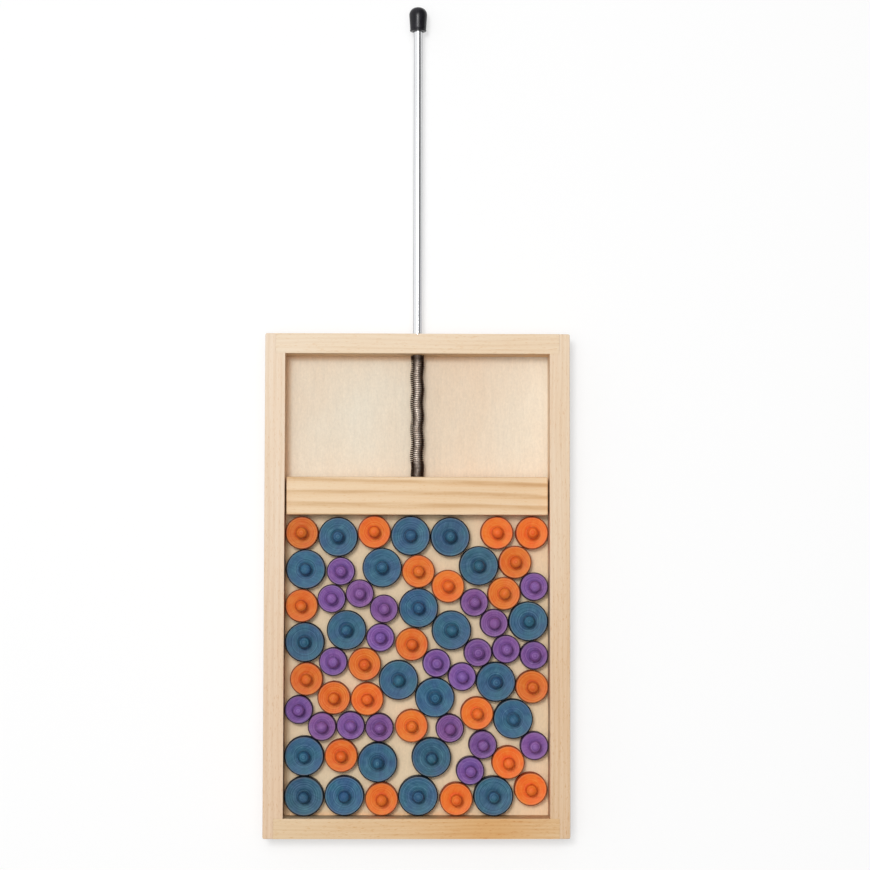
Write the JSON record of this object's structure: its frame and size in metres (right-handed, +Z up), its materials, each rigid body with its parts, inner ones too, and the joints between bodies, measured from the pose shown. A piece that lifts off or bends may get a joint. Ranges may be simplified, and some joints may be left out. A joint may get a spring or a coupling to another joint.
{
  "type": "spring press disc game",
  "caption": "Shallow wooden tray game: a sprung bar on a steel pull rod squeezes stained, knobbed wooden discs that players lift out without letting the bar jump.",
  "frame": {"origin": "centre of the tray's underside, on the surface that it lies on", "axes": "+Y along the pull rod, from the discs towards its cap; +Z up, out of the open tray; +X to the right with the rod pointing away"},
  "size_m": [0.184, 0.5057, 0.026],
  "materials": {
    "frame_wood": "fine sanded, oiled pale wood",
    "panel_wood": "pale plywood, matte",
    "bar_wood": "sanded pine with clear grain",
    "rod_steel": "bright plated steel",
    "cap_rubber": "smooth black rubber",
    "spring_steel": "dark oil-tempered spring wire",
    "blue_stain": "blue stained turned wood",
    "orange_stain": "orange stained turned wood",
    "purple_stain": "purple stained turned wood"
  },
  "bodies": {
    "tray": {"base_panel": "panel_wood", "left_rail": "frame_wood", "right_rail": "frame_wood", "top_rail": "frame_wood", "bottom_rail": "frame_wood", "spring": "spring_steel"},
    "plunger": {"press_bar": "bar_wood", "pull_rod": "rod_steel", "rod_cap": "cap_rubber"},
    "blue_disc_01": {"blue_disc_01": "blue_stain"},
    "blue_disc_02": {"blue_disc_02": "blue_stain"},
    "blue_disc_03": {"blue_disc_03": "blue_stain"},
    "blue_disc_04": {"blue_disc_04": "blue_stain"},
    "blue_disc_05": {"blue_disc_05": "blue_stain"},
    "blue_disc_06": {"blue_disc_06": "blue_stain"},
    "blue_disc_07": {"blue_disc_07": "blue_stain"},
    "blue_disc_08": {"blue_disc_08": "blue_stain"},
    "blue_disc_09": {"blue_disc_09": "blue_stain"},
    "blue_disc_10": {"blue_disc_10": "blue_stain"},
    "blue_disc_11": {"blue_disc_11": "blue_stain"},
    "blue_disc_12": {"blue_disc_12": "blue_stain"},
    "blue_pair_1": {"blue_pair_1": "blue_stain"},
    "blue_pair_2": {"blue_pair_2": "blue_stain"},
    "blue_pair_3": {"blue_pair_3": "blue_stain"},
    "blue_pair_4": {"blue_pair_4": "blue_stain"},
    "blue_pair_5": {"blue_pair_5": "blue_stain"},
    "orange_disc_01": {"orange_disc_01": "orange_stain"},
    "orange_disc_02": {"orange_disc_02": "orange_stain"},
    "orange_disc_03": {"orange_disc_03": "orange_stain"},
    "orange_disc_04": {"orange_disc_04": "orange_stain"},
    "orange_disc_05": {"orange_disc_05": "orange_stain"},
    "orange_disc_06": {"orange_disc_06": "orange_stain"},
    "orange_disc_07": {"orange_disc_07": "orange_stain"},
    "orange_disc_08": {"orange_disc_08": "orange_stain"},
    "orange_disc_09": {"orange_disc_09": "orange_stain"},
    "orange_disc_10": {"orange_disc_10": "orange_stain"},
    "orange_disc_11": {"orange_disc_11": "orange_stain"},
    "orange_disc_12": {"orange_disc_12": "orange_stain"},
    "orange_pair_1": {"orange_pair_1": "orange_stain"},
    "orange_pair_2": {"orange_pair_2": "orange_stain"},
    "orange_pair_3": {"orange_pair_3": "orange_stain"},
    "orange_pair_4": {"orange_pair_4": "orange_stain"},
    "orange_pair_5": {"orange_pair_5": "orange_stain"},
    "purple_disc_01": {"purple_disc_01": "purple_stain"},
    "purple_disc_02": {"purple_disc_02": "purple_stain"},
    "purple_disc_03": {"purple_disc_03": "purple_stain"},
    "purple_disc_04": {"purple_disc_04": "purple_stain"},
    "purple_disc_05": {"purple_disc_05": "purple_stain"},
    "purple_disc_06": {"purple_disc_06": "purple_stain"},
    "purple_disc_07": {"purple_disc_07": "purple_stain"},
    "purple_disc_08": {"purple_disc_08": "purple_stain"},
    "purple_disc_09": {"purple_disc_09": "purple_stain"},
    "purple_disc_10": {"purple_disc_10": "purple_stain"},
    "purple_disc_11": {"purple_disc_11": "purple_stain"},
    "purple_disc_12": {"purple_disc_12": "purple_stain"},
    "purple_pair_1": {"purple_pair_1": "purple_stain"},
    "purple_pair_2": {"purple_pair_2": "purple_stain"},
    "purple_pair_3": {"purple_pair_3": "purple_stain"},
    "purple_pair_4": {"purple_pair_4": "purple_stain"},
    "purple_pair_5": {"purple_pair_5": "purple_stain"}
  },
  "joints": [
    {"name": "plunger_slide", "type": "slide", "parent": "tray", "child": "plunger", "axis": [0, 1, 0], "range_m": [0, 0.024], "stiffness_N_per_m": 42, "springref_m": -0.045, "deforming": ["spring"]},
    {"name": "blue_disc_01_lift", "type": "slide", "parent": "tray", "child": "blue_disc_01", "axis": [0, 0, 1], "range_m": [0, 0.06]},
    {"name": "blue_disc_02_lift", "type": "slide", "parent": "tray", "child": "blue_disc_02", "axis": [0, 0, 1], "range_m": [0, 0.06]},
    {"name": "blue_disc_03_lift", "type": "slide", "parent": "tray", "child": "blue_disc_03", "axis": [0, 0, 1], "range_m": [0, 0.06]},
    {"name": "blue_disc_04_lift", "type": "slide", "parent": "tray", "child": "blue_disc_04", "axis": [0, 0, 1], "range_m": [0, 0.06]},
    {"name": "blue_disc_05_lift", "type": "slide", "parent": "tray", "child": "blue_disc_05", "axis": [0, 0, 1], "range_m": [0, 0.06]},
    {"name": "blue_disc_06_lift", "type": "slide", "parent": "tray", "child": "blue_disc_06", "axis": [0, 0, 1], "range_m": [0, 0.06]},
    {"name": "blue_disc_07_lift", "type": "slide", "parent": "tray", "child": "blue_disc_07", "axis": [0, 0, 1], "range_m": [0, 0.06]},
    {"name": "blue_disc_08_lift", "type": "slide", "parent": "tray", "child": "blue_disc_08", "axis": [0, 0, 1], "range_m": [0, 0.06]},
    {"name": "blue_disc_09_lift", "type": "slide", "parent": "tray", "child": "blue_disc_09", "axis": [0, 0, 1], "range_m": [0, 0.06]},
    {"name": "blue_disc_10_lift", "type": "slide", "parent": "tray", "child": "blue_disc_10", "axis": [0, 0, 1], "range_m": [0, 0.06]},
    {"name": "blue_disc_11_lift", "type": "slide", "parent": "tray", "child": "blue_disc_11", "axis": [0, 0, 1], "range_m": [0, 0.06]},
    {"name": "blue_disc_12_lift", "type": "slide", "parent": "tray", "child": "blue_disc_12", "axis": [0, 0, 1], "range_m": [0, 0.06]},
    {"name": "blue_pair_1_lift", "type": "slide", "parent": "tray", "child": "blue_pair_1", "axis": [0, 0, 1], "range_m": [0, 0.06]},
    {"name": "blue_pair_2_lift", "type": "slide", "parent": "tray", "child": "blue_pair_2", "axis": [0, 0, 1], "range_m": [0, 0.06]},
    {"name": "blue_pair_3_lift", "type": "slide", "parent": "tray", "child": "blue_pair_3", "axis": [0, 0, 1], "range_m": [0, 0.06]},
    {"name": "blue_pair_4_lift", "type": "slide", "parent": "tray", "child": "blue_pair_4", "axis": [0, 0, 1], "range_m": [0, 0.06]},
    {"name": "blue_pair_5_lift", "type": "slide", "parent": "tray", "child": "blue_pair_5", "axis": [0, 0, 1], "range_m": [0, 0.06]},
    {"name": "orange_disc_01_lift", "type": "slide", "parent": "tray", "child": "orange_disc_01", "axis": [0, 0, 1], "range_m": [0, 0.06]},
    {"name": "orange_disc_02_lift", "type": "slide", "parent": "tray", "child": "orange_disc_02", "axis": [0, 0, 1], "range_m": [0, 0.06]},
    {"name": "orange_disc_03_lift", "type": "slide", "parent": "tray", "child": "orange_disc_03", "axis": [0, 0, 1], "range_m": [0, 0.06]},
    {"name": "orange_disc_04_lift", "type": "slide", "parent": "tray", "child": "orange_disc_04", "axis": [0, 0, 1], "range_m": [0, 0.06]},
    {"name": "orange_disc_05_lift", "type": "slide", "parent": "tray", "child": "orange_disc_05", "axis": [0, 0, 1], "range_m": [0, 0.06]},
    {"name": "orange_disc_06_lift", "type": "slide", "parent": "tray", "child": "orange_disc_06", "axis": [0, 0, 1], "range_m": [0, 0.06]},
    {"name": "orange_disc_07_lift", "type": "slide", "parent": "tray", "child": "orange_disc_07", "axis": [0, 0, 1], "range_m": [0, 0.06]},
    {"name": "orange_disc_08_lift", "type": "slide", "parent": "tray", "child": "orange_disc_08", "axis": [0, 0, 1], "range_m": [0, 0.06]},
    {"name": "orange_disc_09_lift", "type": "slide", "parent": "tray", "child": "orange_disc_09", "axis": [0, 0, 1], "range_m": [0, 0.06]},
    {"name": "orange_disc_10_lift", "type": "slide", "parent": "tray", "child": "orange_disc_10", "axis": [0, 0, 1], "range_m": [0, 0.06]},
    {"name": "orange_disc_11_lift", "type": "slide", "parent": "tray", "child": "orange_disc_11", "axis": [0, 0, 1], "range_m": [0, 0.06]},
    {"name": "orange_disc_12_lift", "type": "slide", "parent": "tray", "child": "orange_disc_12", "axis": [0, 0, 1], "range_m": [0, 0.06]},
    {"name": "orange_pair_1_lift", "type": "slide", "parent": "tray", "child": "orange_pair_1", "axis": [0, 0, 1], "range_m": [0, 0.06]},
    {"name": "orange_pair_2_lift", "type": "slide", "parent": "tray", "child": "orange_pair_2", "axis": [0, 0, 1], "range_m": [0, 0.06]},
    {"name": "orange_pair_3_lift", "type": "slide", "parent": "tray", "child": "orange_pair_3", "axis": [0, 0, 1], "range_m": [0, 0.06]},
    {"name": "orange_pair_4_lift", "type": "slide", "parent": "tray", "child": "orange_pair_4", "axis": [0, 0, 1], "range_m": [0, 0.06]},
    {"name": "orange_pair_5_lift", "type": "slide", "parent": "tray", "child": "orange_pair_5", "axis": [0, 0, 1], "range_m": [0, 0.06]},
    {"name": "purple_disc_01_lift", "type": "slide", "parent": "tray", "child": "purple_disc_01", "axis": [0, 0, 1], "range_m": [0, 0.06]},
    {"name": "purple_disc_02_lift", "type": "slide", "parent": "tray", "child": "purple_disc_02", "axis": [0, 0, 1], "range_m": [0, 0.06]},
    {"name": "purple_disc_03_lift", "type": "slide", "parent": "tray", "child": "purple_disc_03", "axis": [0, 0, 1], "range_m": [0, 0.06]},
    {"name": "purple_disc_04_lift", "type": "slide", "parent": "tray", "child": "purple_disc_04", "axis": [0, 0, 1], "range_m": [0, 0.06]},
    {"name": "purple_disc_05_lift", "type": "slide", "parent": "tray", "child": "purple_disc_05", "axis": [0, 0, 1], "range_m": [0, 0.06]},
    {"name": "purple_disc_06_lift", "type": "slide", "parent": "tray", "child": "purple_disc_06", "axis": [0, 0, 1], "range_m": [0, 0.06]},
    {"name": "purple_disc_07_lift", "type": "slide", "parent": "tray", "child": "purple_disc_07", "axis": [0, 0, 1], "range_m": [0, 0.06]},
    {"name": "purple_disc_08_lift", "type": "slide", "parent": "tray", "child": "purple_disc_08", "axis": [0, 0, 1], "range_m": [0, 0.06]},
    {"name": "purple_disc_09_lift", "type": "slide", "parent": "tray", "child": "purple_disc_09", "axis": [0, 0, 1], "range_m": [0, 0.06]},
    {"name": "purple_disc_10_lift", "type": "slide", "parent": "tray", "child": "purple_disc_10", "axis": [0, 0, 1], "range_m": [0, 0.06]},
    {"name": "purple_disc_11_lift", "type": "slide", "parent": "tray", "child": "purple_disc_11", "axis": [0, 0, 1], "range_m": [0, 0.06]},
    {"name": "purple_disc_12_lift", "type": "slide", "parent": "tray", "child": "purple_disc_12", "axis": [0, 0, 1], "range_m": [0, 0.06]},
    {"name": "purple_pair_1_lift", "type": "slide", "parent": "tray", "child": "purple_pair_1", "axis": [0, 0, 1], "range_m": [0, 0.06]},
    {"name": "purple_pair_2_lift", "type": "slide", "parent": "tray", "child": "purple_pair_2", "axis": [0, 0, 1], "range_m": [0, 0.06]},
    {"name": "purple_pair_3_lift", "type": "slide", "parent": "tray", "child": "purple_pair_3", "axis": [0, 0, 1], "range_m": [0, 0.06]},
    {"name": "purple_pair_4_lift", "type": "slide", "parent": "tray", "child": "purple_pair_4", "axis": [0, 0, 1], "range_m": [0, 0.06]},
    {"name": "purple_pair_5_lift", "type": "slide", "parent": "tray", "child": "purple_pair_5", "axis": [0, 0, 1], "range_m": [0, 0.06]}
  ]
}
